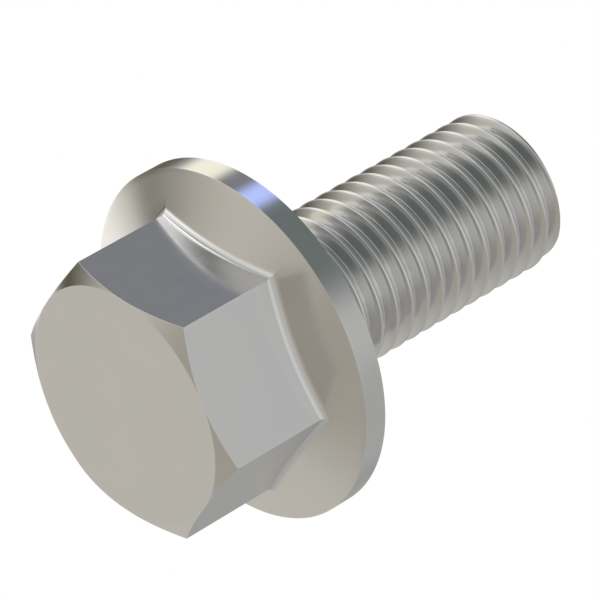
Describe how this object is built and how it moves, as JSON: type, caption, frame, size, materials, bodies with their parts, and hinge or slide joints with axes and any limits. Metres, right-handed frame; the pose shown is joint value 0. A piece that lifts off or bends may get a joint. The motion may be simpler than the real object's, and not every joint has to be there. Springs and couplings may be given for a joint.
{
  "type": "flange bolt",
  "caption": "Hexagon-head flange bolt with a conical washer flange, a straight rim and a fully threaded shank.",
  "frame": {"origin": "centre of the flat face of the hexagon, on which the bolt stands", "axes": "+Z along the shank from the head to the tip; +X through a corner of the hexagon, so two flats face +Y and -Y"},
  "size_m": [0.0266, 0.0266, 0.0368],
  "materials": {
    "steel": "plain satin steel, smooth all over, with glossy reflections"
  },
  "bodies": {
    "root": {"flange_bolt": "steel"}
  },
  "joints": []
}
